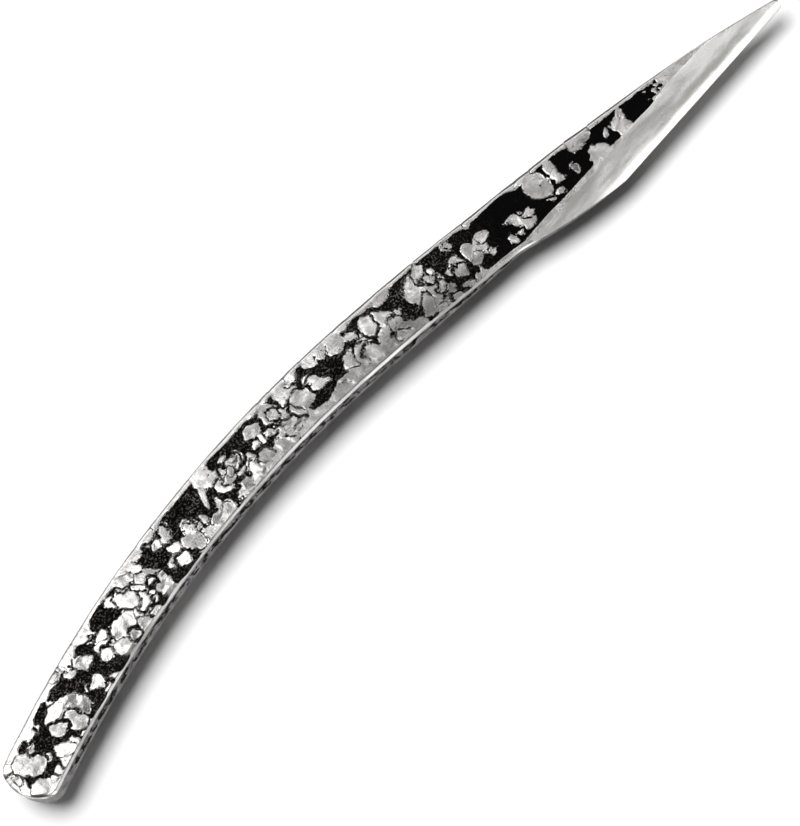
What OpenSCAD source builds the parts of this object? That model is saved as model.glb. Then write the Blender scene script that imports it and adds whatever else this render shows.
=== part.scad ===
// Clay modeling tool: one bar of steel, forged to shape, bent in its own plane and ground to a skew blade.
// Millimetres. It lies on its flat back: +Z is out of the forged face, +X runs from butt to tip along the
// straight line between them, and +Y is the side that the bend bulges towards.
// The origin is under the middle of its bounding box.

/* [Bar] */
// Width of the bar, across its face
bar_width = 11; // [8:0.5:16]
// Thickness of the bar along the handle
bar_thickness = 3; // [2.2:0.1:4.5]
// Width of the chamfer that is worn along the bar's long corners
arris = 0.35; // [0.15:0.05:0.6]

/* [Bend] */
// Radius of the bent handle, to the bar's centre line
bend_radius = 194; // [120:1:320]
// Length of the bent handle along its centre line
bend_length = 88.5; // [60:0.5:120]
// Length of the straight shank between the bend and the blade
shank_length = 16; // [6:0.5:30]

/* [Butt] */
// How far the rounded butt stands out past the handle's square end
butt_depth = 3.6; // [1:0.1:4]

/* [Blade] */
// Length of the blade, from the end of the shank to the tip
blade_length = 73.5; // [55:0.5:95]
// Thickness that the blade is forged down to
blade_thickness = 1.5; // [1:0.1:2]
// Start of the taper in thickness, from the end of the bend
taper_start = 8; // [2:0.5:14]
// Radius of the blade's spine, which falls towards the tip
spine_radius = 400; // [280:5:800]
// Distance of the heel from the end of the shank, where the cutting edge begins
heel_distance = 35.5; // [28:0.5:44]
// Width of the blade at the heel, where it is widest
blade_width = 12; // [9.5:0.1:18]
// Radius of the belly that swells from the bar's side to the heel
belly_radius = 83; // [50:1:120]
// Radius of the blunt tip
tip_radius = 0.9; // [0.5:0.1:1.5]
// Thickness left along the cutting edge
edge_thickness = 0.2; // [0.1:0.05:0.5]

/* [Hidden] */
$fn = 720;

half_width = bar_width / 2;
reach = bar_width + bar_thickness;    // how far a cutter runs past what it cuts
steel = [0.62, 0.61, 0.60];

// The working frame has the centre line of the shank along +X, and the end of the bend at its origin.
// The handle bends about a centre on the -Y side.
bend_angle = bend_length / bend_radius * 180 / PI;

// The blade's spine is an arc that leaves the shank's upper side in line with it
spine_centre = [shank_length, half_width - spine_radius];
function spine_y(x) = spine_centre.y + sqrt(pow(spine_radius, 2) - pow(x - spine_centre.x, 2));

// The heel is the lowest point of the belly's arc
heel = [shank_length + heel_distance, spine_y(shank_length + heel_distance) - blade_width];
belly_centre = heel + [0, belly_radius];
belly_start_x = heel.x - sqrt(pow(belly_radius, 2) - pow(belly_centre.y + half_width, 2));

// The tip is a circle that touches the spine's arc from inside
tip_x = shank_length + blade_length;
tip_centre_x = tip_x - tip_radius;
tip_rise = sqrt(pow(spine_radius - tip_radius, 2) - pow(tip_centre_x - spine_centre.x, 2));
tip_centre = [tip_centre_x, spine_centre.y + tip_rise];

// The cutting edge runs from the heel and touches the tip's circle from below
heel_to_tip = tip_centre - heel;
edge_angle = atan2(heel_to_tip.y, heel_to_tip.x) - asin(tip_radius / norm(heel_to_tip));
edge_length = sqrt(pow(norm(heel_to_tip), 2) - pow(tip_radius, 2));

// The bevel is one plane. It comes up from the cutting edge and reaches the blade's full thickness
// in line with the point where the belly leaves the bar's side.
belly_start = [belly_start_x, -half_width];
bevel_width = cos(edge_angle) * (belly_start.y - heel.y) - sin(edge_angle) * (belly_start.x - heel.x);
bevel_rise = (blade_thickness - edge_thickness) / bevel_width;
bevel_run_in = cos(edge_angle) * (heel.x - belly_start.x) + sin(edge_angle) * (heel.y - belly_start.y);

// The butt is an arc through the two corners of the handle's square end, in a frame with that end at x = 0
butt_radius = (pow(half_width, 2) + pow(butt_depth, 2)) / (2 * butt_depth);
butt_centre_x = butt_radius - butt_depth;
butt_overlap = 0.5;                   // how far the butt's stub runs on into the handle

// A point of the butt's own frame, and of the working frame, in the part's frame
bend_centre = [0, -bend_radius];
function turned(p, a) = [p.x * cos(a) - p.y * sin(a), p.x * sin(a) + p.y * cos(a)];
function butt_point(p) = turned([p.x, p.y + bend_radius], bend_angle) + bend_centre;
butt_end = butt_point([-butt_depth, 0]);
lie_angle = atan2(tip_centre.y - butt_end.y, tip_centre.x - butt_end.x);
function lying(p) = turned(p, -lie_angle);

// The bounding box as it lies, found on the round ends and on the outside of the bend
low_x = lying(butt_point([butt_centre_x, 0])).x - butt_radius;
high_x = lying(tip_centre).x + tip_radius;
low_y = min(lying(butt_point([0, -half_width])).y, lying(heel).y);
high_y = lying(bend_centre).y + bend_radius + half_width;
box_centre = [(low_x + high_x) / 2, (low_y + high_y) / 2];

// The bar's cross-section, between two chamfered sides
module section(from, to) {
    polygon([
        [from + arris, 0], [to - arris, 0],
        [to, arris], [to, bar_thickness - arris],
        [to - arris, bar_thickness], [from + arris, bar_thickness],
        [from, bar_thickness - arris], [from, arris]
    ]);
}

// A disc of the bar's thickness with both of its rims chamfered
module chamfered_disc(radius) {
    rotate_extrude() polygon([
        [0, 0], [radius - arris, 0], [radius, arris],
        [radius, bar_thickness - arris], [radius - arris, bar_thickness], [0, bar_thickness]
    ]);
}

// A straight length of the bar, from x = 0
module bar_length_of(length) {
    rotate([90, 0, 90]) linear_extrude(height = length) section(-half_width, half_width);
}

// An upright block over part of the face, tall enough to cut through the bar
module block(from, to) {
    translate([from.x, from.y, -reach]) cube([to.x - from.x, to.y - from.y, 2 * reach]);
}

// The rounded butt, with a short stub that runs into the handle
module butt() {
    intersection() {
        translate([butt_centre_x, 0, 0]) chamfered_disc(butt_radius);
        translate([-butt_depth, 0, 0]) bar_length_of(butt_depth + butt_overlap);
    }
}

// The bent handle, from the rounded butt to the shank
module handle() {
    translate([bend_centre.x, bend_centre.y, 0]) {
        rotate([0, 0, 90]) rotate_extrude(angle = bend_angle)
            section(bend_radius - half_width, bend_radius + half_width);
        rotate([0, 0, bend_angle]) translate([0, bend_radius, 0]) butt();
    }
}

// The blade's full outline at the bar's thickness, before it is forged thinner and ground
module blade_blank() {
    intersection() {
        translate([spine_centre.x, spine_centre.y, 0]) chamfered_disc(spine_radius);
        union() {
            translate([shank_length, 0, 0]) bar_length_of(heel.x - shank_length);
            intersection() {
                translate([belly_centre.x, belly_centre.y, 0])
                    cylinder(r = belly_radius, h = bar_thickness);
                block([belly_start.x, heel.y - 1], [heel.x, half_width + 1]);
            }
            intersection() {
                translate([heel.x, heel.y, 0]) rotate([0, 0, edge_angle])
                    block([-reach, 0], [edge_length, 2 * reach]);
                block([heel.x, heel.y - 1], [tip_centre.x, half_width]);
                cube([4 * spine_radius, 4 * spine_radius, 2 * bar_thickness], center = true);
            }
        }
    }
    translate([tip_centre.x, tip_centre.y, 0]) cylinder(r = tip_radius, h = bar_thickness);
}

// What forging takes off the top: a taper to the blade's thickness, then a level run to the tip
module forged_away() {
    rotate([90, 0, 0]) translate([0, 0, -2 * reach]) linear_extrude(height = 4 * reach) polygon([
        [taper_start, bar_thickness],
        [belly_start.x, blade_thickness],
        [tip_x + reach, blade_thickness],
        [tip_x + reach, 2 * bar_thickness],
        [taper_start, 2 * bar_thickness]
    ]);
}

// What the grinding of the bevel takes off, in line with the cutting edge
module ground_away() {
    translate([heel.x, heel.y, 0]) rotate([90, 0, 90 + edge_angle]) translate([0, 0, -bevel_run_in])
        linear_extrude(height = bevel_run_in + edge_length + reach) polygon([
            [-reach, edge_thickness - reach * bevel_rise],
            [2 * reach, edge_thickness + 2 * reach * bevel_rise],
            [2 * reach, 2 * reach],
            [-reach, 2 * reach]
        ]);
}

module forged_bar() {
    color(steel) translate([-box_centre.x, -box_centre.y, 0]) rotate([0, 0, -lie_angle]) difference() {
        union() {
            handle();
            bar_length_of(shank_length);
            blade_blank();
        }
        forged_away();
        ground_away();
    }
}

forged_bar();
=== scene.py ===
import math

import bmesh
import bpy
import numpy as np
from mathutils import Matrix, Vector


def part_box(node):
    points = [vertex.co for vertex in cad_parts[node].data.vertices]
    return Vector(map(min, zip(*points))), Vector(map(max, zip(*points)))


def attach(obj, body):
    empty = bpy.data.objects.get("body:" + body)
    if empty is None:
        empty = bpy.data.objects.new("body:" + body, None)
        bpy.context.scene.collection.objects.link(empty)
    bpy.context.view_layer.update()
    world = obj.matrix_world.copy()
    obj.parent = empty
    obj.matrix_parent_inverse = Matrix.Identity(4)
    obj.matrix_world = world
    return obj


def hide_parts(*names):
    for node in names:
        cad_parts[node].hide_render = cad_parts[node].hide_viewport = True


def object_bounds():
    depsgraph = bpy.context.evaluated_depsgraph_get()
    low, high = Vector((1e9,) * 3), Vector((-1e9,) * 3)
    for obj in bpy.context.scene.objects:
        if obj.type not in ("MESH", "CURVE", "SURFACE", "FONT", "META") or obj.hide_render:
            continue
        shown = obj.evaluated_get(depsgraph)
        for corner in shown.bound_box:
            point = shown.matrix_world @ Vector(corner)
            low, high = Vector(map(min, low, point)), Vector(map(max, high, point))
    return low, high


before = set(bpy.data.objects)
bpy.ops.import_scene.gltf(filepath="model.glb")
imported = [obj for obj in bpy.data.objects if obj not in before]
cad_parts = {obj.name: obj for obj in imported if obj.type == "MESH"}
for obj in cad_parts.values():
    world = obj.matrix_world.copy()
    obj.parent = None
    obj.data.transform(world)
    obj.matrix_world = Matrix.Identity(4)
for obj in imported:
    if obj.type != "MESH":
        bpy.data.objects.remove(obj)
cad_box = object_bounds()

MM = 0.001

# ---------------------------------------------------------------------------------------------
# The bar's driving sizes, in millimetres, as the solid has them
# ---------------------------------------------------------------------------------------------
BAR_WIDTH = 11.0
BAR_THICKNESS = 3.0
BEND_RADIUS = 194.0
BEND_LENGTH = 88.5
SHANK_LENGTH = 16.0
BUTT_DEPTH = 3.6
BLADE_LENGTH = 73.5
BLADE_THICKNESS = 1.5
TAPER_START = 8.0
SPINE_RADIUS = 400.0
HEEL_DISTANCE = 35.5
BLADE_WIDTH = 12.0
BELLY_RADIUS = 83.0
TIP_RADIUS = 0.9
EDGE_THICKNESS = 0.2

# ---------------------------------------------------------------------------------------------
# How the bar is worked, in millimetres. Where a pair has no comment of its own it is a stretch
# along the bar's centre line, counted from the end of the bend: the butt is below zero.
# ---------------------------------------------------------------------------------------------
BUTT_CORNER = 2.9                    # radius of the butt's two corners
BELLY_BLEND = 0.3                    # how softly the bar's side turns into the belly
TAPER_EASE = 3                       # how far past each end of the taper its curve runs

# Corners
CORNER_SHARE = 3                     # a worn corner takes at most one part in this many of the width
SPINE_ARRIS = 0.75                   # width of the rounding worn along the spine's top corner
ARRIS_WANDER = 0.2                   # the share by which that width wanders
ARRIS_WAVELENGTH = 9.0
ARRIS_NARROWING = 0.65               # the share that it loses towards the tip
ARRIS_NARROWS = (58, 74)
ARRIS_STEPS = (0.0, 0.32, 0.66)      # where its mesh points are, from the spine inwards
ARRIS_DROPS = (0.15, 0.045, 0.014)   # how far each has fallen, at the blade
BUTT_DROP = 0.68                     # and the share of the first that is left at the butt
DROP_GROWS = (-30, 30)
MOST_DROP = 0.35                     # a drop is at most this share of the thickness
BELLY_ARRIS = 0.35                   # width of the chamfer along the other top corner
BACK_ARRIS = 0.3                     # width of the chamfers along both corners of the back
MOST_BACK_ARRIS = 0.3                # and at most this share of the thickness
SIDE_LEVELS = (0.0, 0.2, 0.4, 0.6, 0.75, 0.88, 1.0)    # mesh points down a side, of its height
FOOT_FLARE = 0.06                    # how far the belly's side spreads at its foot
FLARE_FROM = 0.75                    # the share of the way down the side where it begins
FLARE_FADE = 8                       # and how far before the belly it begins to fade

# The face and its hollows
FACE_CROWN = 0.08                    # how far the face falls from its middle to its sides
CROWN_FADES = (20, 50)
CROWN_LEAST_HALF = 0.5               # half the width that the crown is reckoned over at least
HANDLE_HOLLOW = 0.18                 # from the standing spots down to the scale, on the handle
BLADE_HOLLOW = 0.13                  # and on the blade
BACK_HOLLOW = 0.12                   # and on the back
HOLLOW_SHALLOWS = (8, 36)
HOLLOW_WALL = 0.3                    # how far outside a spot its sloping side ends
FACE_WALL_STEEPER = 0.06             # and how much sooner it ends on the face
WALL_TOP = 0.1                       # how far inside the spot it begins
SCALE_TEXTURE = 0.018                # how rough the scale is
SCALE_WAVELENGTH = 0.75
FACE_RIPPLE = 0.008                  # how far the whole face ripples
RIPPLE_WAVELENGTH = 2.8
CALM_BY_RIDGE = 1.0                  # tops, texture and ripple fade this close to the ridge

# The standing spots
SPOT_SIZE = 1.14                     # half the width of a usual one
SPOT_SPREAD = 0.3                    # how much their sizes differ
SPOT_SHRINKING = 0.16                # how much smaller they are on the blade
SPOTS_SHRINK = (10, 24)
SPOT_LENGTH = (1.05, 1.7)            # length of one, for each millimetre of width
SPOT_LEAN = 0.3                      # usual lean, in radians, and how much it differs
LEAN_SPREAD = 0.6
SPOT_MOAT = (0.1, 0.45)              # how far round itself a blow clears what was there before
SPOT_TILT = 0.065                    # how much their tops tilt
SPOT_DOME = 0.035                    # how far a top falls from its middle to its edge
SPOT_SQUARENESS = 2.2                # 2 gives an ellipse
SPOT_REACH = 4.5                     # no spot reaches farther than this
SPOT_SWAY = 0.17                     # how far a spot's outline wanders
SWAY_WAVELENGTH = 2.6
SPOT_RAGGED = 0.06                   # and how ragged it is
RAGGED_WAVELENGTH = 0.8
TOP_LIMIT = 0.2                      # how far a spot's top may stand up
TOP_BLEND = TOP_LIMIT / 4            # and how softly it is held there
BARE_SCALE = -1.2                    # the distance inside a spot where there is none
SPOTS_PAST_BUTT = 1
SPOTS_PAST_BELLY = 1.2
SPOTS_PAST_SPINE = 0.8
FACE_TRIES = 560
BACK_TRIES = 520

# How likely a spot is to stand: most crowded at the butt, and sparser in three steps to the blade
BUTT_CHANCE = 0.60
CHANCE_FALLS = (((-72, -60), 0.10), ((-40, -20), 0.05), ((6, 20), 0.16))

# What handling has rubbed bright: its width in millimetres, and how strongly it is rubbed
RIM_WIDTH = 0.4
RIM_WIDER_AT_BUTT = 0.65
RIM_NARROWS = (-75, -50)
RIM_WANDER = 0.25
RIM_RUB = 1.5
THIN_RIM = (0.1, 0.35)               # full to the first distance from that side, gone at the second
THIN_RIM_RUB = 1.2
HELD_FROM = (-42, -26)
HELD_TO = (6, 18)
HELD_WIDTH = (1.4, 3.4)              # the same for the band that is held
HELD_WANDER = 0.9
HELD_RAGGED = 0.3
HELD_RUB = 1.6
RIDGE_END = (60, 68)
RIDGE_END_RUB = 1.7
BUTT_BAND = (1.9, 0.9)               # where the butt's bright end begins and is full, from its end
BUTT_RAGGED = 0.25
BUTT_RUB = 1.6
PATCHY_WAVELENGTH = 7.0
RUB_RAGGED_WAVELENGTH = 1.3

# Painted shade: the steel along the belly side of the handle is painted darker, in two steps along the
# handle
PAINTED_SHADE_STEPS = (((-45, -20), 0.3), ((-15, 8), 0.35))
PAINTED_SHADE_END = (18, 30)
PAINTED_SHADE_WIDTH = (2.5, 6.5)            # full to the first distance from the belly side

# The back and the sides
BACK_RIM = (0.05, 0.8)               # full to the first distance from a side, gone at the second
BACK_RIM_RUB = 1.4
BACK_BLADE = (46, 62)
BACK_BLADE_RUB = 1.3
BACK_BUTT_BAND = (1.6, 0.8)          # as the butt's band on the face
GROUND_SIDE = (-3, 2)                # where the side turns to ground steel, from the belly's start
GROUND_SIDE_RUB = 1.4
BUTT_SIDE = (-8, 1)                  # where the sides are worn at the butt, from the handle's end
BUTT_SIDE_RUB = 0.7
FOOT_LINE = (0.7, 0.95)              # the line worn along the belly side's foot, of its height
FOOT_LINE_RUB = 0.7
SPINE_SIDE_SHARE = 0.5               # the spine side is worn this share of the belly side's wear

# The ground bevel
MAIN_SLOPE = 0.2                     # its rise for each millimetre inwards
EDGE_SLOPE = 0.43                    # the same for the narrow facet along the cutting edge
FACET_BLEND = 0.07                   # how softly the two meet
FACET_FADE = (-0.25, 0.35)           # where the main plane's streaks set in, from their meeting
BEVEL_WAVE = 0.016                   # how far the main plane waves, from the hand that ground it
BEVEL_WAVELENGTH = 8.0
RUN_OUT_SLOPE = 0.6                  # how steeply it runs out behind the belly's start
RIDGE_ROUNDING = 0.03                # how softly the forged face and the bevel meet
BEAD_SLOPE = 0.12                    # how steeply the worn line along the ridge falls towards it
BEAD_WIDTH = 0.6
BEAD_NARROWS = (((32, 46), 0.24), ((52, 60), 0.5))
BEAD_START = 24
BEAD_RUB = 1.6
NO_BEAD = -2

# Seeds of everything that is left to chance
ARRIS_SEED = 5
FACE_SEED = 11
TEXTURE_SEED = 21
RIPPLE_SEED = 22
PATCHY_SEED = 31
RAGGED_SEED = 32
BEVEL_SEED = 41
BACK_SEED = 61

# The mesh: spacing along the bar, and points across each part of a cross-section
RING_SPACING = 0.215
BUTT_RINGS = 26
TIP_RINGS = 9
FACE_POINTS = 52
BEVEL_POINTS = 12
BEVEL_CROWDING = 1.5                 # more than 1 brings the bevel's points closer to the ridge
BACK_POINTS = 24
FINE_SAMPLES = 208
MERGE_DISTANCE = 0.004
SHORTEST_EDGE = 0.002
SHARP_CORNER = math.radians(38)
UV_ROWS = 3
UV_MARGIN = 0.01
NEARLY_ZERO = 1e-9

HALF_WIDTH = BAR_WIDTH / 2


# ---------------------------------------------------------------------------------------------
# The plan of the bar. The shank lies along +X, and the bend ends at x = 0.
# ---------------------------------------------------------------------------------------------
def spine_y(x):
    run = np.clip(x - SHANK_LENGTH, 0, None)
    return HALF_WIDTH - SPINE_RADIUS + np.sqrt(SPINE_RADIUS**2 - run**2)


HEEL_X = SHANK_LENGTH + HEEL_DISTANCE
HEEL_Y = float(spine_y(HEEL_X)) - BLADE_WIDTH
HEEL = np.array([HEEL_X, HEEL_Y])
BELLY_CENTRE_Y = HEEL_Y + BELLY_RADIUS
BELLY_START_X = HEEL_X - math.sqrt(BELLY_RADIUS**2 - (BELLY_CENTRE_Y + HALF_WIDTH) ** 2)
TIP_X = SHANK_LENGTH + BLADE_LENGTH
TIP_CENTRE_X = TIP_X - TIP_RADIUS
TIP_REACH = math.sqrt((SPINE_RADIUS - TIP_RADIUS) ** 2 - (TIP_CENTRE_X - SHANK_LENGTH) ** 2)
TIP_CENTRE_Y = HALF_WIDTH - SPINE_RADIUS + TIP_REACH
HEEL_TO_TIP = math.hypot(TIP_CENTRE_X - HEEL_X, TIP_CENTRE_Y - HEEL_Y)
TIP_BEARING = math.atan2(TIP_CENTRE_Y - HEEL_Y, TIP_CENTRE_X - HEEL_X)
EDGE_ANGLE = TIP_BEARING - math.asin(TIP_RADIUS / HEEL_TO_TIP)
EDGE_DIRECTION = np.array([math.cos(EDGE_ANGLE), math.sin(EDGE_ANGLE)])
EDGE_INWARD = np.array([-math.sin(EDGE_ANGLE), math.cos(EDGE_ANGLE)])
BEVEL_WIDTH = float(EDGE_INWARD @ [BELLY_START_X - HEEL_X, -HALF_WIDTH - HEEL_Y])
FACET_LIFT = BLADE_THICKNESS - EDGE_THICKNESS - MAIN_SLOPE * BEVEL_WIDTH
FACET_WIDTH = FACET_LIFT / (EDGE_SLOPE - MAIN_SLOPE)


def smooth_step(x, low, high):
    q = np.clip((x - low) / (high - low), 0, 1)
    return q * q * (3 - 2 * q)


def soft_max(a, b, blend):
    return 0.5 * (a + b + np.sqrt((a - b) ** 2 + blend**2))


def soft_min(a, b, blend):
    return -soft_max(-a, -b, blend)


def in_steps(s, steps):
    """The sum of some steps along the bar, each given by its stretch and its height."""
    return sum(height * smooth_step(s, *stretch) for stretch, height in steps)


def belly_y(x):
    """The lower side: the bar's own side, then the belly's arc, then the cutting edge."""
    arc = BELLY_CENTRE_Y - np.sqrt(BELLY_RADIUS**2 - np.clip(HEEL_X - x, 0, None) ** 2 * (x > 0))
    side = soft_min(arc, -HALF_WIDTH, BELLY_BLEND)
    edge = HEEL_Y + math.tan(EDGE_ANGLE) * (x - HEEL_X)
    return np.where(x > HEEL_X, np.maximum(HEEL_Y, edge), np.where(x > 0, side, -HALF_WIDTH))


def butt_half_width(past):
    """Half the butt's width at a distance past the handle's square end: two corners and a crown."""
    inner = HALF_WIDTH - BUTT_CORNER
    rise = BUTT_DEPTH - BUTT_CORNER
    crown = (rise**2 + 2 * rise * BUTT_CORNER + inner**2) / (2 * rise)
    centre = crown - BUTT_DEPTH
    meets = BUTT_CORNER * centre / (crown - BUTT_CORNER)
    corner = inner + np.sqrt(np.clip(BUTT_CORNER**2 - past**2, 0, None))
    end = np.sqrt(np.clip(crown**2 - (past + centre) ** 2, 0, None))
    return np.where(past < meets, corner, end)


def on_bar(s, aside):
    """The plan point at a distance along the bar's centre line, and aside from it towards the spine."""
    angle = np.clip(-s, 0, BEND_LENGTH) / BEND_RADIUS
    past = np.clip(-s - BEND_LENGTH, 0, None)
    x = np.clip(s, 0, None) - (BEND_RADIUS + aside) * np.sin(angle) - past * np.cos(angle)
    y = (BEND_RADIUS + aside) * np.cos(angle) - BEND_RADIUS - past * np.sin(angle)
    return np.stack([x, y], -1)


def stations():
    """Where the cross-sections are along the centre line, closer together at the round ends."""
    butt = -BEND_LENGTH - BUTT_DEPTH * np.sin(np.linspace(math.pi / 2, 0, BUTT_RINGS))[:-1]
    tip = TIP_CENTRE_X + TIP_RADIUS * np.sin(np.linspace(0, math.pi / 2, TIP_RINGS))[1:]
    count = round((TIP_CENTRE_X + BEND_LENGTH) / RING_SPACING)
    return np.concatenate([butt, np.linspace(-BEND_LENGTH, TIP_CENTRE_X, count), tip])


def side_offsets(s):
    """How far the spine side and the belly side stand from the centre line at each station."""
    round_end = np.sqrt(np.clip(TIP_RADIUS**2 - np.clip(s - TIP_CENTRE_X, 0, None) ** 2, 0, None))
    upper = np.where(s > TIP_CENTRE_X, np.minimum(spine_y(s), TIP_CENTRE_Y + round_end), spine_y(s))
    lower = np.where(s > TIP_CENTRE_X, np.maximum(belly_y(s), TIP_CENTRE_Y - round_end), belly_y(s))
    butt = butt_half_width(np.clip(-s - BEND_LENGTH, 0, None))
    in_butt = s < -BEND_LENGTH
    return np.where(in_butt, butt, upper), np.where(in_butt, -butt, lower)


# ---------------------------------------------------------------------------------------------
# The forged pattern: spots left standing and rubbed bright, black scale in the hollows between
# ---------------------------------------------------------------------------------------------
class Waves:
    """Smooth seeded noise between about -1 and 1: a sum of waves in random directions."""

    COUNT = 12
    LENGTHS = (0.6, 1.6)

    def __init__(self, seed, wavelength):
        random = np.random.default_rng(seed)
        heading = random.uniform(0, 2 * math.pi, self.COUNT)
        length = wavelength * random.uniform(*self.LENGTHS, self.COUNT)
        self.step_s = 2 * math.pi / length * np.cos(heading)
        self.step_t = 2 * math.pi / length * np.sin(heading)
        self.phase = random.uniform(0, 2 * math.pi, self.COUNT)
        self.scale = math.sqrt(2.0 / self.COUNT)

    def __call__(self, s, t):
        total = np.zeros(np.broadcast(s, t).shape)
        for step_s, step_t, phase in zip(self.step_s, self.step_t, self.phase):
            total += np.cos(step_s * s + step_t * t + phase)
        return total * self.scale


def standing_spots(seed, s, t, tries):
    """Each point's distance inside a standing spot, in millimetres, less than zero in a hollow, and
    the height of the spot's own top. A later blow presses into an earlier one and leaves a crescent."""
    random = np.random.default_rng(seed)
    sway_s, sway_t = Waves(seed + 1, SWAY_WAVELENGTH), Waves(seed + 2, SWAY_WAVELENGTH)
    ragged = Waves(seed + 3, RAGGED_WAVELENGTH)
    bent_s = s + SPOT_SWAY * sway_s(s, t) + SPOT_RAGGED * ragged(s, t)
    bent_t = t + SPOT_SWAY * sway_t(s, t) + SPOT_RAGGED * ragged(t, s)
    inside, top = np.full(s.shape, BARE_SCALE), np.zeros(s.shape)
    for _ in range(tries):
        at_s = random.uniform(-BEND_LENGTH - BUTT_DEPTH - SPOTS_PAST_BUTT, TIP_X)
        at_t = random.uniform(-HALF_WIDTH - SPOTS_PAST_BELLY, HALF_WIDTH + SPOTS_PAST_SPINE)
        shrunk = 1 - SPOT_SHRINKING * smooth_step(at_s, *SPOTS_SHRINK)
        wide = SPOT_SIZE * random.lognormal(0, SPOT_SPREAD) * shrunk
        tall = wide * random.uniform(*SPOT_LENGTH)
        lean = random.normal(SPOT_LEAN, LEAN_SPREAD)
        moat = random.uniform(*SPOT_MOAT)
        tilt_s, tilt_t = random.normal(0, SPOT_TILT, 2)
        if random.random() > BUTT_CHANCE - in_steps(at_s, CHANCE_FALLS):
            continue
        near = (np.abs(s - at_s) < SPOT_REACH) & (np.abs(t - at_t) < SPOT_REACH)
        ds, dt = bent_s[near] - at_s, bent_t[near] - at_t
        across = np.abs((ds * math.cos(lean) + dt * math.sin(lean)) / wide)
        along = np.abs((dt * math.cos(lean) - ds * math.sin(lean)) / tall)
        reach = (across**SPOT_SQUARENESS + along**SPOT_SQUARENESS) ** (1 / SPOT_SQUARENESS)
        depth = (1 - reach) * (wide + tall) / 2
        own_top = tilt_s * ds + tilt_t * dt - SPOT_DOME * reach**2
        top[near] = np.where(depth > 0, own_top, top[near])
        inside[near] = np.maximum(np.minimum(inside[near], -depth - moat), depth)
    return inside, soft_min(top, TOP_LIMIT, TOP_BLEND)


def butt_rub(s, band, ragged=0.0):
    """How bright the end of the butt is rubbed."""
    past_butt = -s - BEND_LENGTH
    return BUTT_RUB * smooth_step(past_butt + ragged, BUTT_DEPTH - band[0], BUTT_DEPTH - band[1])


def rubbed_edges(s, from_spine, from_belly):
    """What handling has rubbed bright besides the spots, added to their distances: the rim along the
    spine, the thin rim on the other side, the middle of the handle there, the ridge's end and the butt."""
    patchy = Waves(PATCHY_SEED, PATCHY_WAVELENGTH)(s, from_spine)
    ragged = Waves(RAGGED_SEED, RUB_RAGGED_WAVELENGTH)(s, from_spine)
    rim_width = RIM_WIDTH + RIM_WIDER_AT_BUTT * (1 - smooth_step(s, *RIM_NARROWS)) + RIM_WANDER * patchy
    rim = RIM_RUB * (1 - smooth_step(from_spine, 0.0, rim_width))
    thin_rim = THIN_RIM_RUB * (1 - smooth_step(from_belly, *THIN_RIM))
    handle_stretch = smooth_step(s, *HELD_FROM) * (1 - smooth_step(s, *HELD_TO))
    held_width = HELD_WIDTH[1] + HELD_WANDER * patchy + HELD_RAGGED * ragged
    held_band = HELD_RUB * handle_stretch * (1 - smooth_step(from_belly, HELD_WIDTH[0], held_width))
    ridge_end = RIDGE_END_RUB * smooth_step(s + ragged, *RIDGE_END)
    return rim + thin_rim + held_band + ridge_end + butt_rub(s, BUTT_BAND, BUTT_RAGGED * ragged)


def painted_belly_shade(s, from_belly):
    """How far the steel is painted darker as shade, along the belly side of the handle's middle and shank.
    """
    handle_stretch = in_steps(s, PAINTED_SHADE_STEPS) * (1 - smooth_step(s, *PAINTED_SHADE_END))
    return handle_stretch * (1 - smooth_step(from_belly, *PAINTED_SHADE_WIDTH))


def ridge_bead(s, from_ridge):
    """The line worn bright along the ridge: the distance inside it, in millimetres."""
    bead_width = BEAD_WIDTH - in_steps(s, BEAD_NARROWS)
    return np.where(s > BEAD_START, bead_width - from_ridge, NO_BEAD)


# ---------------------------------------------------------------------------------------------
# Heights over the plan
# ---------------------------------------------------------------------------------------------
def forged_level(s):
    """The thickness of the bar before it is ground."""
    thinned = smooth_step(s, TAPER_START - TAPER_EASE, BELLY_START_X + TAPER_EASE)
    return BAR_THICKNESS - (BAR_THICKNESS - BLADE_THICKNESS) * thinned


def from_cutting_edge(points):
    return (points - HEEL) @ EDGE_INWARD


def bevel_height(points):
    """The ground bevel: a main plane that waves a little, and a steeper facet along the cutting edge."""
    inward = from_cutting_edge(points)
    along = (points - HEEL) @ EDGE_DIRECTION
    waves = BEVEL_WAVE * Waves(BEVEL_SEED, BEVEL_WAVELENGTH)(points[..., 0], points[..., 1])
    main = FACET_LIFT + MAIN_SLOPE * inward + waves
    facet = EDGE_SLOPE * np.clip(inward, 0, None)
    run_out = RUN_OUT_SLOPE * np.clip(HEEL_X - BELLY_START_X + along, None, 0)
    return EDGE_THICKNESS + soft_min(main, facet, FACET_BLEND) - run_out


def outline_normal(points, sign):
    along = np.gradient(points, axis=0)
    along /= np.maximum(np.linalg.norm(along, axis=1, keepdims=True), NEARLY_ZERO)
    return sign * np.stack([-along[:, 1], along[:, 0]], 1)


def laid_across(start, end, share):
    """Plan points from one line along the bar to another, at shares of the way between them."""
    return start[:, None] + (end - start)[:, None] * share[..., None]


def resampled(values, share):
    """Values along each cross-section, read at the given shares of its length."""
    place = np.clip(share, 0, 1) * (values.shape[1] - 1)
    low = np.minimum(place.astype(int), values.shape[1] - 2)
    part = place - low
    row = np.arange(len(values))[:, None]
    return values[row, low] * (1 - part) + values[row, low + 1] * part


def find_ridge(forged, ground):
    """The share of each cross-section at which the ground surface takes over from the forged one."""
    keeps = forged <= ground
    rows = np.arange(len(keeps))
    last = forged.shape[1] - 1 - np.argmax(keeps[:, ::-1], axis=1)
    after = np.minimum(last + 1, forged.shape[1] - 1)
    over, under = (ground - forged)[rows, last], (forged - ground)[rows, after]
    part = np.clip(over / np.maximum(over + under, NEARLY_ZERO), 0, 1)
    return np.where(keeps.any(1), np.minimum((last + part) / (forged.shape[1] - 1), 1), 0)


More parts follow.
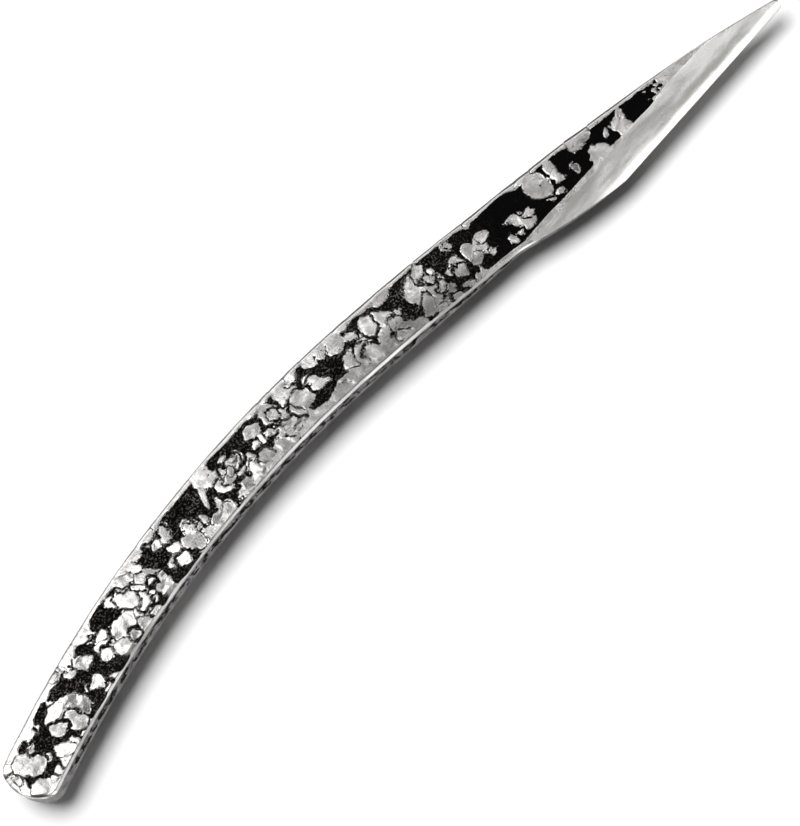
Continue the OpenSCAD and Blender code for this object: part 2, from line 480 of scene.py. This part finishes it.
def joined_top(forged, ground, share):
    """The lower of the forged and the ground surface, softly joined along the ridge."""
    return soft_min(resampled(forged, share), resampled(ground, share), RIDGE_ROUNDING)


class BarShape:
    """Every cross-section of the bar, as strips of points that run round it and close."""

    def __init__(self):
        self.s = stations()
        self.upper, self.lower = side_offsets(self.s)
        self.spine, self.belly = on_bar(self.s, self.upper), on_bar(self.s, self.lower)
        self.gap = self.upper - self.lower
        self.corner_room = np.clip(self.gap / CORNER_SHARE, 0, None)
        self.butt_wear = BUTT_SIDE_RUB * smooth_step(
            -self.s, BEND_LENGTH + BUTT_SIDE[0], BEND_LENGTH + BUTT_SIDE[1]
        )
        self.strips = []
        self.work_top()
        self.work_belly_side()
        self.work_back()
        self.work_spine_side()

    def add(self, name, plan, height, inside=None):
        inside = np.ones(height.shape) if inside is None else inside
        self.strips.append((name, plan, height, inside))

    def worn_width(self):
        """The width of the rounding along the spine, which wanders and narrows towards the tip."""
        wander = ARRIS_WANDER * Waves(ARRIS_SEED, ARRIS_WAVELENGTH)(self.s, 0 * self.s)
        worn = SPINE_ARRIS * (1 + wander)
        worn = worn * (1 - ARRIS_NARROWING * smooth_step(self.s, *ARRIS_NARROWS))
        return np.minimum(worn, self.corner_room)

    def crowned_level(self, along, t):
        """The face before its hollows: level along the blade, a little crowned along the handle."""
        centre = (self.upper + self.lower)[:, None] / 2
        from_middle = (t - centre) / np.maximum(self.gap[:, None] / 2, CROWN_LEAST_HALF)
        crown = FACE_CROWN * (1 - smooth_step(along, *CROWN_FADES))
        return forged_level(along) - crown * np.clip(from_middle, -1, 1) ** 2

    def work_top(self):
        worn = self.worn_width()
        inner = self.spine - outline_normal(self.spine, 1) * worn[:, None]
        share = np.linspace(0, 1, FINE_SAMPLES)[None]
        plan = laid_across(inner, self.belly, share)
        width = np.linalg.norm(self.belly - inner, axis=1)[:, None]
        from_spine, from_belly = width * share, width * (1 - share)
        t = self.lower[:, None] + from_belly
        along = self.s[:, None] + 0 * t
        crowned = self.crowned_level(along, t)
        ground = np.minimum(crowned - BELLY_ARRIS + from_belly, bevel_height(plan))
        from_ridge = find_ridge(crowned, ground)[:, None] * width - from_spine
        inside, top = standing_spots(FACE_SEED, along, t, FACE_TRIES)
        inside = inside + rubbed_edges(along, from_spine, from_belly)
        in_bead = ridge_bead(along, from_ridge)
        inside = np.maximum(inside, BEAD_RUB * in_bead)
        standing = smooth_step(inside, FACE_WALL_STEEPER - HOLLOW_WALL, WALL_TOP)
        hollow = HANDLE_HOLLOW + (BLADE_HOLLOW - HANDLE_HOLLOW) * smooth_step(along, *HOLLOW_SHALLOWS)
        scale = SCALE_TEXTURE * Waves(TEXTURE_SEED, SCALE_WAVELENGTH)(along, t) * (1 - standing)
        pitted = scale + FACE_RIPPLE * Waves(RIPPLE_SEED, RIPPLE_WAVELENGTH)(along, t)
        forged = crowned - hollow * (1 - standing)
        forged = forged + (top * standing + pitted) * smooth_step(from_ridge, 0.0, CALM_BY_RIDGE)
        forged = forged - BEAD_SLOPE * np.clip(in_bead, 0, 1)
        ridge = find_ridge(forged, ground)[:, None]
        face = ridge * np.linspace(0, 1, FACE_POINTS)[None]
        past_ridge = np.linspace(0, 1, BEVEL_POINTS + 1)[None, 1:] ** BEVEL_CROWDING
        bevel = ridge + (1 - ridge) * past_ridge
        face_height, bevel_top = joined_top(forged, ground, face), joined_top(forged, ground, bevel)
        self.spine_top, self.belly_top = face_height[:, 0], bevel_top[:, -1]
        self.round_spine(worn, inner)
        self.add("face", laid_across(inner, self.belly, face), face_height, resampled(inside, face))
        self.face_shade = resampled(painted_belly_shade(along, from_belly), face)
        bevel_plan = laid_across(inner, self.belly, bevel)
        low, high = (FACET_WIDTH + fade for fade in FACET_FADE)
        self.add("bevel", bevel_plan, bevel_top, smooth_step(from_cutting_edge(bevel_plan), low, high))

    def round_spine(self, worn, inner):
        """The rounding along the spine, which is steepest at its outer edge."""
        fall = (worn / SPINE_ARRIS)[:, None] * np.array(ARRIS_DROPS)[None]
        fall[:, 0] *= BUTT_DROP + (1 - BUTT_DROP) * smooth_step(self.s, *DROP_GROWS)
        fall[:, 0] = np.maximum(fall[:, 0], fall[:, 1])
        rounded = self.spine_top[:, None] - np.minimum(fall, MOST_DROP * self.spine_top[:, None])
        self.spine_shoulder = rounded[:, 0]
        self.add("spine_arris", laid_across(self.spine, inner, np.array(ARRIS_STEPS)[None]), rounded)

    def work_belly_side(self):
        foot = np.minimum(BACK_ARRIS, MOST_BACK_ARRIS * self.belly_top)
        down = np.array(SIDE_LEVELS)[None, 1:]
        bar_side = 1 - smooth_step(self.s, BELLY_START_X - FLARE_FADE, BELLY_START_X)
        flare = FOOT_FLARE * bar_side[:, None] * smooth_step(down, FLARE_FROM, 1)
        wall = self.belly[:, None] + outline_normal(self.belly, -1)[:, None] * flare[..., None]
        ground_side = GROUND_SIDE_RUB * smooth_step(
            self.s, BELLY_START_X + GROUND_SIDE[0], BELLY_START_X + GROUND_SIDE[1]
        )
        wear = (ground_side + self.butt_wear)[:, None] + FOOT_LINE_RUB * smooth_step(down, *FOOT_LINE)
        fall = (foot - self.belly_top)[:, None]
        self.add("belly_wall", wall, self.belly_top[:, None] + fall * down, wear)

    def inset_from(self, side, sign, top):
        """A side's line brought in by the chamfer along the back."""
        inset = np.minimum(np.minimum(BACK_ARRIS, MOST_BACK_ARRIS * top), self.corner_room)
        return side - outline_normal(side, sign) * inset[:, None]

    def work_back(self):
        share = np.linspace(0, 1, BACK_POINTS)[None]
        inner_belly = self.inset_from(self.belly, -1, self.belly_top)
        inner_spine = self.inset_from(self.spine, 1, self.spine_top)
        t = self.lower[:, None] + self.gap[:, None] * share
        along = self.s[:, None] + 0 * t
        inside, _ = standing_spots(BACK_SEED, along, t, BACK_TRIES)
        from_side = np.minimum(share, 1 - share) * self.gap[:, None]
        rim = BACK_RIM_RUB * (1 - smooth_step(from_side, *BACK_RIM))
        inside = inside + rim + BACK_BLADE_RUB * smooth_step(along, *BACK_BLADE)
        inside = inside + butt_rub(along, BACK_BUTT_BAND)
        hollow = BACK_HOLLOW * (1 - smooth_step(inside, -HOLLOW_WALL, WALL_TOP))
        self.add("back", laid_across(inner_belly, inner_spine, share), hollow, inside)

    def work_spine_side(self):
        foot = np.minimum(BACK_ARRIS, MOST_BACK_ARRIS * self.spine_top)
        up = np.array(SIDE_LEVELS)[None, :-1]
        wall = np.repeat(self.spine[:, None], up.shape[1], axis=1)
        wear = np.repeat((SPINE_SIDE_SHARE * self.butt_wear)[:, None], up.shape[1], axis=1)
        rise = (self.spine_shoulder - foot)[:, None]
        self.add("spine_wall", wall, foot[:, None] + rise * up, wear)


# ---------------------------------------------------------------------------------------------
# Placing and meshing
# ---------------------------------------------------------------------------------------------
MATERIAL_OF = {"face": 0, "spine_arris": 1, "bevel": 2, "belly_wall": 3, "back": 4, "spine_wall": 3}
QUAD_CORNERS = ((0, 0), (1, 0), (1, 1), (0, 1))      # steps along the bar and round it


def laid_in_frame(points):
    """Turns the points to lie as the solid lies, and brings their middle to the middle of its box."""
    butt_end = on_bar(np.array(-BEND_LENGTH - BUTT_DEPTH), np.array(0.0))
    lie = math.atan2(TIP_CENTRE_Y - butt_end[1], TIP_CENTRE_X - butt_end[0])
    turn = np.array([[math.cos(lie), math.sin(lie)], [-math.sin(lie), math.cos(lie)]])
    laid = points.copy()
    laid[..., :2] = points[..., :2] @ turn.T
    low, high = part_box("forged_bar")
    for axis in (0, 1):
        middle = (laid[..., axis].min() + laid[..., axis].max()) / 2
        laid[..., axis] += (low[axis] + high[axis]) / 2 / MM - middle
    laid[..., 2] += low[2] / MM
    return laid * MM


def strip_columns(strips):
    """The material of the quads that follow each point round a cross-section."""
    column = []
    for name, _, height, _ in strips:
        column += [MATERIAL_OF[name]] * height.shape[1]
    widths = [height.shape[1] for _, _, height, _ in strips]
    ends = dict(zip([name for name, *_ in strips], np.cumsum(widths) - 1))
    column[ends["face"]] = MATERIAL_OF["bevel"]
    column[ends["bevel"]] = MATERIAL_OF["belly_wall"]
    column[ends["back"]] = MATERIAL_OF["spine_arris"]
    return column


def unwrap(mesh, s, points):
    """Lays the surface out flat in a few rows of bar, one above another."""
    around = points.shape[1]
    closed = np.concatenate([points, points[:, :1]], 1)
    step = np.linalg.norm(np.diff(closed, axis=1), axis=2)
    place = np.concatenate([np.zeros((len(s), 1)), np.cumsum(step, axis=1)], 1)
    girth = place.max()
    ring, column = np.divmod(np.arange((len(s) - 1) * around), around)
    row_rings = math.ceil((len(s) - 1) / UV_ROWS)
    row = ring // row_rings
    length = max(s[min((k + 1) * row_rings, len(s) - 1)] - s[k * row_rings] for k in range(UV_ROWS))
    scale = (1 - UV_MARGIN * (UV_ROWS + 1)) / max(length * MM, girth * UV_ROWS)
    corners = []
    for ring_step, column_step in QUAD_CORNERS:
        u = (s[ring + ring_step] - s[row * row_rings]) * MM * scale + UV_MARGIN
        v = place[ring + ring_step, column + column_step] * scale
        v = v + row * (girth * scale + UV_MARGIN) + UV_MARGIN
        corners.append(np.stack([u, v], 1))
    layer = mesh.uv_layers.new(name="OFBake")
    layer.data.foreach_set("uv", np.stack(corners, 1).astype(np.float32).ravel())


def close_ends(mesh):
    """Closes the butt and the tip, and merges the points that meet there."""
    work = bmesh.new()
    work.from_mesh(mesh)
    bmesh.ops.holes_fill(work, edges=[edge for edge in work.edges if edge.is_boundary], sides=0)
    bmesh.ops.remove_doubles(work, verts=work.verts, dist=MERGE_DISTANCE * MM)
    bmesh.ops.dissolve_degenerate(work, edges=work.edges, dist=SHORTEST_EDGE * MM)
    bmesh.ops.recalc_face_normals(work, faces=work.faces)
    work.to_mesh(mesh)
    work.free()


def add_attribute(mesh, name, values):
    attribute = mesh.attributes.new(name, "FLOAT", "POINT")
    attribute.data.foreach_set("value", values.astype(np.float32).ravel())


def make_bar(materials):
    shape = BarShape()
    plan, height, inside = (np.concatenate([strip[k] for strip in shape.strips], 1) for k in (1, 2, 3))
    points = laid_in_frame(np.concatenate([plan, height[..., None]], 2))
    rings, around = points.shape[:2]
    start = np.arange(rings - 1)[:, None] * around
    column = np.arange(around)[None]
    after = (column + 1) % around
    quads = np.stack([start + column, start + around + column, start + around + after, start + after], 2)
    mesh = bpy.data.meshes.new("forged_steel_bar")
    mesh.from_pydata(points.reshape(-1, 3).tolist(), [], quads.reshape(-1, 4).tolist())
    add_attribute(mesh, "standing", np.clip(inside, -1, 1))
    # Painted shade along the belly side of the handle, on the face only
    shade = np.zeros(inside.shape)
    shade[:, len(ARRIS_STEPS) : len(ARRIS_STEPS) + FACE_POINTS] = shape.face_shade
    add_attribute(mesh, "painted_belly_shade", shade)
    add_attribute(mesh, "handled", np.repeat(1 - smooth_step(shape.s, *HANDLED_ENDS), around))
    unwrap(mesh, shape.s, points)
    for material in materials:
        mesh.materials.append(material)
    mesh.polygons.foreach_set("material_index", np.tile(strip_columns(shape.strips), rings - 1))
    mesh.polygons.foreach_set("use_smooth", np.ones(len(mesh.polygons), bool))
    close_ends(mesh)
    mesh.set_sharp_from_angle(angle=SHARP_CORNER)
    bar = bpy.data.objects.new("forged_steel_bar", mesh)
    bpy.context.scene.collection.objects.link(bar)
    return bar


# ---------------------------------------------------------------------------------------------
# Finishes. Sizes of their patterns are in millimetres, and a band is a stretch of the noise.
# ---------------------------------------------------------------------------------------------
STEEL = (0.70, 0.685, 0.675, 1)
DULL_STEEL = (0.42, 0.405, 0.400, 1)
# the colour of the painted shade along the handle's belly side
PAINTED_SHADE_STEEL = (0.13, 0.127, 0.127, 1)
# The sides' steel is painted dark as shade, far darker than the face's steel
PAINTED_SHADE_SIDE_STEEL = (0.24, 0.23, 0.235, 1)
SIDE_SHADE = (0.10, 0.095, 0.100, 1)
ARRIS_SHADE = (0.58, 0.57, 0.565, 1)
BEVEL_LIGHT = (0.86, 0.85, 0.835, 1)
BEVEL_SHADE = (0.46, 0.455, 0.44, 1)
SCALE_BLACK = (0.002, 0.0019, 0.0019, 1)
SCALE_BROWN = (0.075, 0.064, 0.058, 1)

# The shared effects
NOISE_ROUGHNESS = 0.6
MOTTLE_DETAIL = 3.0
MOTTLE_BAND = (0.3, 0.7)
SPECK_DETAIL = 2.0
SPECK_LEVELS = (0.78, 0.36)          # the noise that a speck has to pass, at amounts 0 and 1
SPECK_EDGE = 0.07
STREAK_DETAIL = 3.0
STREAK_STRETCH = (0.22, 1.0, 1.0)
STREAK_TURN = math.radians(-20)

# Steel under scale
SPOT_EDGE = {"Size": 0.4, "Low": -0.11, "High": 0.11}
SPOT_FEATHER = {"Size": 0.3, "Low": -0.26, "High": 0.22}
SCALE_PATCHES = {"Size": 1.6, "Low": 0.15, "High": 1.0}
BRIGHT_FROM = (0.02, 0.10)           # the distance inside a spot over which black turns bright
PIT_SIZE = 0.45
PIT_CROWDING = {"Size": 3.6, "Low": 0.4, "High": 1.7}
BLADE_PITS = 0.04                    # how many more there are on the blade
FLECK_SIZE = 0.34
BLADE_FLECKS = 0.03                  # the share of the brown flecks that the blade has
FLECK_SHINE = 0.05
STEEL_TONE_SIZE = 2.2
POLISH_SIZE = 1.1
POLISH_SPREAD = 0.09
SCALE_ROUGHNESS = 0.85
SCALE_GLOSS = 0.014
GRAIN_SIZE = 0.22
GRAIN_STRENGTH = 0.25
GRAIN_DEPTH = 0.03

# Bare steel
BARE_TONE_SIZE = 4.5
STREAK_TONE_SIZE = 3.4
STREAK_TONE_BAND = (0.36, 0.64)
BARE_GRAIN_SIZE = 0.5
BARE_GRAIN_DEPTH = 0.01
BARE_POLISH_SIZE = 5.0
BARE_POLISH_SPREAD = 0.05

# The patches where the sides' scale is rubbed through
WALL_PATCH_SIZE = 0.75
WALL_PATCH_DETAIL = 4.0
WALL_PATCH_STRETCH = (0.5, 1.0, 1.0)
WALL_PATCH_BAND = (0.3, 0.7)
WALL_PATCHES = (-0.4, 0.42)

# Where the handle's finish gives way to the blade's, along the bar
HANDLED_ENDS = (12, 34)


class Nodes:
    """A node tree with short ways to add a node and feed its inputs."""

    def __init__(self, tree):
        self.tree = tree

    def feed(self, socket, value):
        if isinstance(value, bpy.types.NodeSocket):
            self.tree.links.new(value, socket)
        else:
            socket.default_value = value

    def add(self, kind, inputs=(), **settings):
        node = self.tree.nodes.new(kind)
        for name, value in settings.items():
            setattr(node, name, value)
        for key, value in dict(inputs).items():
            self.feed(node.inputs[key], value)
        return node

    def math(self, operation, first, second=0.0):
        return self.add("ShaderNodeMath", {0: first, 1: second}, operation=operation).outputs[0]

    def times(self, first, second):
        return self.math("MULTIPLY", first, second)

    def ramp(self, value, low, high, to_low=0.0, to_high=1.0):
        ends = {"Value": value, "From Min": low, "From Max": high, "To Min": to_low, "To Max": to_high}
        return self.add("ShaderNodeMapRange", ends, interpolation_type="SMOOTHSTEP").outputs[0]

    def blend(self, share, first, second):
        return self.add("ShaderNodeMix", {0: share, 6: first, 7: second}, data_type="RGBA").outputs[2]

    def attribute(self, name):
        return self.add("ShaderNodeAttribute", attribute_name=name).outputs["Fac"]

    def group(self, group, **inputs):
        node = self.add("ShaderNodeGroup", node_tree=group)
        for name, value in inputs.items():
            self.feed(node.inputs[name], value)
        return node.outputs[0]


def start_group(name, inputs, output):
    group = bpy.data.node_groups.new(name, "ShaderNodeTree")
    for socket, value in inputs.items():
        made = group.interface.new_socket(socket, in_out="INPUT", socket_type="NodeSocketFloat")
        made.default_value = value
    group.interface.new_socket(output, in_out="OUTPUT", socket_type="NodeSocketFloat")
    nodes = Nodes(group)
    given = nodes.add("NodeGroupInput").outputs
    return group, nodes, given


def noise_at(nodes, size, detail, stretch=(1, 1, 1), turn=0.0):
    """Noise over the object, with its size given in millimetres."""
    place = nodes.add("ShaderNodeTexCoord").outputs["Object"]
    mapping = {"Vector": place, "Rotation": (0, 0, turn), "Scale": stretch}
    turned = nodes.add("ShaderNodeMapping", mapping).outputs[0]
    scale = nodes.math("DIVIDE", 1 / MM, size)
    inputs = {"Vector": turned, "Scale": scale, "Detail": detail, "Roughness": NOISE_ROUGHNESS}
    return nodes.add("ShaderNodeTexNoise", inputs).outputs["Fac"]


def make_mottle_group():
    """A slow change between two values, for roughness and tone."""
    group, nodes, given = start_group("mottle", {"Size": 2.0, "Low": 0.0, "High": 1.0}, "Value")
    noise = noise_at(nodes, given["Size"], MOTTLE_DETAIL)
    nodes.add("NodeGroupOutput", {"Value": nodes.ramp(noise, *MOTTLE_BAND, given["Low"], given["High"])})
    return group


def make_speckle_group():
    """Small separate specks: a larger Amount gives more of them."""
    group, nodes, given = start_group("speckle", {"Size": 0.3, "Amount": 0.3}, "Mask")
    noise = noise_at(nodes, given["Size"], SPECK_DETAIL)
    level = nodes.ramp(given["Amount"], 0.0, 1.0, *SPECK_LEVELS)
    nodes.add("NodeGroupOutput", {"Mask": nodes.ramp(noise, level, nodes.math("ADD", level, SPECK_EDGE))})
    return group


def make_streak_group():
    """Fine grinding streaks along one direction."""
    group, nodes, given = start_group("grinding_streaks", {"Size": 0.3}, "Height")
    noise = noise_at(nodes, given["Size"], STREAK_DETAIL, STREAK_STRETCH, STREAK_TURN)
    nodes.add("NodeGroupOutput", {"Height": noise})
    return group


def start_material(name):
    material = bpy.data.materials.new(name)
    material.use_nodes = True
    nodes = Nodes(material.node_tree)
    return material, nodes, material.node_tree.nodes["Principled BSDF"]


def finish_surface(nodes, shader, colour, metallic, roughness, bump):
    """Feeds the shader. The bump is a height, its strength and its depth in millimetres."""
    height, strength, depth = bump
    relief = {"Height": height, "Strength": strength, "Distance": depth * MM}
    nodes.feed(shader.inputs["Base Color"], colour)
    nodes.feed(shader.inputs["Metallic"], metallic)
    nodes.feed(shader.inputs["Roughness"], roughness)
    nodes.feed(shader.inputs["Normal"], nodes.add("ShaderNodeBump", relief).outputs[0])


def scaled_steel(name, groups, standing, pits, flecks, rough, tones=(STEEL, DULL_STEEL)):
    """Steel that shows bright where it stands and black with scale where it doesn't."""
    material, nodes, shader = start_material(name)
    mottle, speckle = groups["mottle"], groups["speckle"]
    patchy = nodes.group(mottle, **SCALE_PATCHES)
    feather = nodes.times(nodes.group(mottle, **SPOT_FEATHER), patchy)
    ragged = nodes.math("ADD", nodes.group(mottle, **SPOT_EDGE), feather)
    bright = nodes.ramp(nodes.math("ADD", standing(nodes), ragged), *BRIGHT_FROM)
    handled = nodes.attribute("handled")
    amount = nodes.ramp(handled, 0, 1, pits + BLADE_PITS, pits)
    amount = nodes.times(amount, nodes.group(mottle, **PIT_CROWDING))
    pit = nodes.group(speckle, Size=PIT_SIZE, Amount=amount)
    bright = nodes.times(bright, nodes.math("SUBTRACT", 1.0, pit))
    fleck = nodes.times(nodes.group(speckle, Size=FLECK_SIZE, Amount=flecks), patchy)
    fleck = nodes.times(fleck, nodes.ramp(handled, 0, 1, BLADE_FLECKS, 1.0))
    bright = nodes.math("MAXIMUM", bright, nodes.times(fleck, FLECK_SHINE))
    steel = nodes.blend(nodes.group(mottle, Size=STEEL_TONE_SIZE), *tones)
    # Painted shade: the steel is blended darker along the handle's belly side
    steel = nodes.blend(nodes.attribute("painted_belly_shade"), steel, PAINTED_SHADE_STEEL)
    scale = nodes.blend(fleck, SCALE_BLACK, SCALE_BROWN)
    polish = nodes.group(mottle, Size=POLISH_SIZE, Low=rough, High=rough + POLISH_SPREAD)
    roughness = nodes.ramp(bright, 0, 1, SCALE_ROUGHNESS, polish)
    grain = nodes.group(mottle, Size=GRAIN_SIZE), GRAIN_STRENGTH, GRAIN_DEPTH
    finish_surface(nodes, shader, nodes.blend(bright, scale, steel), bright, roughness, grain)
    shader.inputs["Specular IOR Level"].default_value = SCALE_GLOSS
    return material


def bare_steel(name, groups, tones, rough, grain_strength, streaked=False):
    """Steel without scale, ground or worn bright."""
    material, nodes, shader = start_material(name)
    mottle, streaks = groups["mottle"], groups["streaks"]
    tone = nodes.group(mottle, Size=BARE_TONE_SIZE)
    if streaked:
        tone = nodes.ramp(nodes.group(streaks, Size=STREAK_TONE_SIZE), *STREAK_TONE_BAND)
        tone = nodes.times(tone, attribute_standing(nodes))
    height = nodes.group(streaks if streaked else mottle, Size=BARE_GRAIN_SIZE)
    roughness = nodes.group(mottle, Size=BARE_POLISH_SIZE, Low=rough, High=rough + BARE_POLISH_SPREAD)
    grain = height, grain_strength, BARE_GRAIN_DEPTH
    finish_surface(nodes, shader, nodes.blend(tone, *tones), 1.0, roughness, grain)
    return material


def attribute_standing(nodes):
    return nodes.attribute("standing")


def wall_standing(nodes):
    """Walls have no spots of their own: the scale is rubbed through in small patches."""
    noise = noise_at(nodes, WALL_PATCH_SIZE, WALL_PATCH_DETAIL, WALL_PATCH_STRETCH)
    patches = nodes.ramp(noise, *WALL_PATCH_BAND, *WALL_PATCHES)
    return nodes.math("ADD", patches, attribute_standing(nodes))


def make_materials():
    groups = {
        "mottle": make_mottle_group(),
        "speckle": make_speckle_group(),
        "streaks": make_streak_group(),
    }
    # the sides' steel tones, painted dark as shade
    on_sides = PAINTED_SHADE_SIDE_STEEL, SIDE_SHADE
    on_arris = STEEL, ARRIS_SHADE
    on_bevel = BEVEL_LIGHT, BEVEL_SHADE
    on_spots = attribute_standing
    return [
        scaled_steel("rubbed_spots_over_scale", groups, on_spots, pits=0.26, flecks=0.56, rough=0.17),
        bare_steel("worn_arris", groups, on_arris, rough=0.2, grain_strength=0.15),
        bare_steel("ground_bevel", groups, on_bevel, rough=0.25, grain_strength=0.12, streaked=True),
        scaled_steel("scaled_sides", groups, wall_standing, pits=0.2, flecks=0.6, rough=0.3, tones=on_sides),
        scaled_steel("rubbed_back", groups, on_spots, pits=0.2, flecks=0.35, rough=0.28),
    ]


# ---------------------------------------------------------------------------------------------
# Camera, floor and light, in metres
# ---------------------------------------------------------------------------------------------
SENSOR = 36.0
CAMERA_DISTANCE = 0.7
VIEW_HEIGHT = 0.1352
CAMERA_TILT = math.radians(27)
CAMERA_ROLL = math.radians(46.73)
AIM_FROM_MIDDLE = (-0.0017, -0.0080, -0.0015)

KEY_ELEVATION = math.radians(84)
KEY_STRENGTH = 3.75
KEY_SOFTNESS = math.radians(42)
WORLD_WHITE = (1, 1, 1, 1)
WORLD_STRENGTH = 0.11
FLOOR_SIZE = 3.0
FLOOR_WHITE = (0.83, 0.83, 0.83, 1)
FLOOR_ROUGHNESS = 0.9
FLOOR_GLOSS = 0.1
FLOOR_DROP = 0.005

# Each softbox's name, place, size and radiance
SOFTBOXES = (
    ("softbox_over_the_butt", (-0.19, 0.27, 0.54), (0.22, 0.28), 3.0),
    ("softbox_over_the_middle", (-0.01, 0.33, 0.51), (0.13, 0.14), 0.6),
    ("softbox_over_the_blade", (0.15, 0.28, 0.54), (0.2, 0.18), 0.68),
    ("strip_beyond_the_spine", (0.0, 0.42, 0.44), (0.8, 0.07), 2.4),
    ("strip_over_the_ridge", (0.165, 0.14, 0.62), (0.21, 0.05), 3.2),
    ("softbox_over_the_heel", (0.05, 0.01, 0.64), (0.12, 0.11), 1.15),
    ("softbox_over_the_bevel", (0.15, 0.01, 0.64), (0.08, 0.11), 0.36),
    ("softbox_over_the_tip", (0.23, 0.01, 0.64), (0.08, 0.11), 0.62),
    ("softbox_over_the_edge", (0.1, -0.18, 0.62), (0.34, 0.14), 2.6),
    ("strip_before_the_butt", (-0.3, -0.55, 0.28), (0.5, 0.16), 2.6),
    ("strip_before_the_shank", (0.2, -0.55, 0.28), (0.5, 0.16), 1.3),
)


def make_camera():
    """A long lens, tilted off the vertical and rolled so that the tool runs up to the right."""
    camera = bpy.data.objects.new("camera", bpy.data.cameras.new("camera"))
    bpy.context.scene.collection.objects.link(camera)
    camera.data.sensor_width = SENSOR
    camera.data.lens = SENSOR * CAMERA_DISTANCE / VIEW_HEIGHT
    low, high = cad_box
    target = (Vector(low) + Vector(high)) / 2 + Vector(AIM_FROM_MIDDLE)
    back = Vector((0, -math.sin(CAMERA_TILT), math.cos(CAMERA_TILT)))
    up = Vector((0, math.cos(CAMERA_TILT), math.sin(CAMERA_TILT)))
    right = Vector((1, 0, 0))
    rolled_right = right * math.cos(CAMERA_ROLL) - up * math.sin(CAMERA_ROLL)
    rolled_up = right * math.sin(CAMERA_ROLL) + up * math.cos(CAMERA_ROLL)
    turn = Matrix((rolled_right, rolled_up, back)).transposed()
    camera.matrix_world = Matrix.Translation(target + back * CAMERA_DISTANCE) @ turn.to_4x4()
    bpy.context.scene.camera = camera


def place_lamp(name, light, place):
    """Hangs a light at a place, turned to the middle of the tool."""
    lamp = bpy.data.objects.new(name, light)
    lamp.location = place
    lamp.rotation_euler = (-Vector(place)).to_track_quat("-Z", "Y").to_euler()
    bpy.context.scene.collection.objects.link(lamp)
    return lamp


def softbox(name, place, size, radiance):
    """A rectangular softbox that looks equally bright from every side, and leaves the floor unlit."""
    light = bpy.data.lights.new(name, "AREA")
    light.shape = "RECTANGLE"
    light.size, light.size_y = size
    light.energy = radiance * math.pi * size[0] * size[1]
    place_lamp(name, light, place).visible_diffuse = False


def key_light():
    """A wide key high over the tool, which lights the floor and throws the soft shadow."""
    light = bpy.data.lights.new("key_over_the_tool", "SUN")
    light.energy = KEY_STRENGTH
    light.angle = KEY_SOFTNESS
    place = (0, math.cos(KEY_ELEVATION), math.sin(KEY_ELEVATION))
    place_lamp("key_over_the_tool", light, place).visible_glossy = False


def make_floor():
    r = FLOOR_SIZE
    mesh = bpy.data.meshes.new("floor")
    mesh.from_pydata([(-r, -r, 0), (r, -r, 0), (r, r, 0), (-r, r, 0)], [], [(0, 1, 2, 3)])
    material, _, shader = start_material("pale_floor")
    shader.inputs["Base Color"].default_value = FLOOR_WHITE
    shader.inputs["Roughness"].default_value = FLOOR_ROUGHNESS
    shader.inputs["Specular IOR Level"].default_value = FLOOR_GLOSS
    mesh.materials.append(material)
    floor = bpy.data.objects.new("floor", mesh)
    floor.location.z = cad_box[0][2] - FLOOR_DROP
    bpy.context.scene.collection.objects.link(floor)


def make_studio():
    world = bpy.data.worlds.new("studio")
    world.use_nodes = True
    background = world.node_tree.nodes["Background"]
    background.inputs["Color"].default_value = WORLD_WHITE
    background.inputs["Strength"].default_value = WORLD_STRENGTH
    bpy.context.scene.world = world
    bpy.context.scene.view_settings.view_transform = "Standard"
    make_floor()
    key_light()
    for box in SOFTBOXES:
        softbox(*box)


make_camera()
make_studio()
bar = make_bar(make_materials())
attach(bar, "root")
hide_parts("forged_bar")
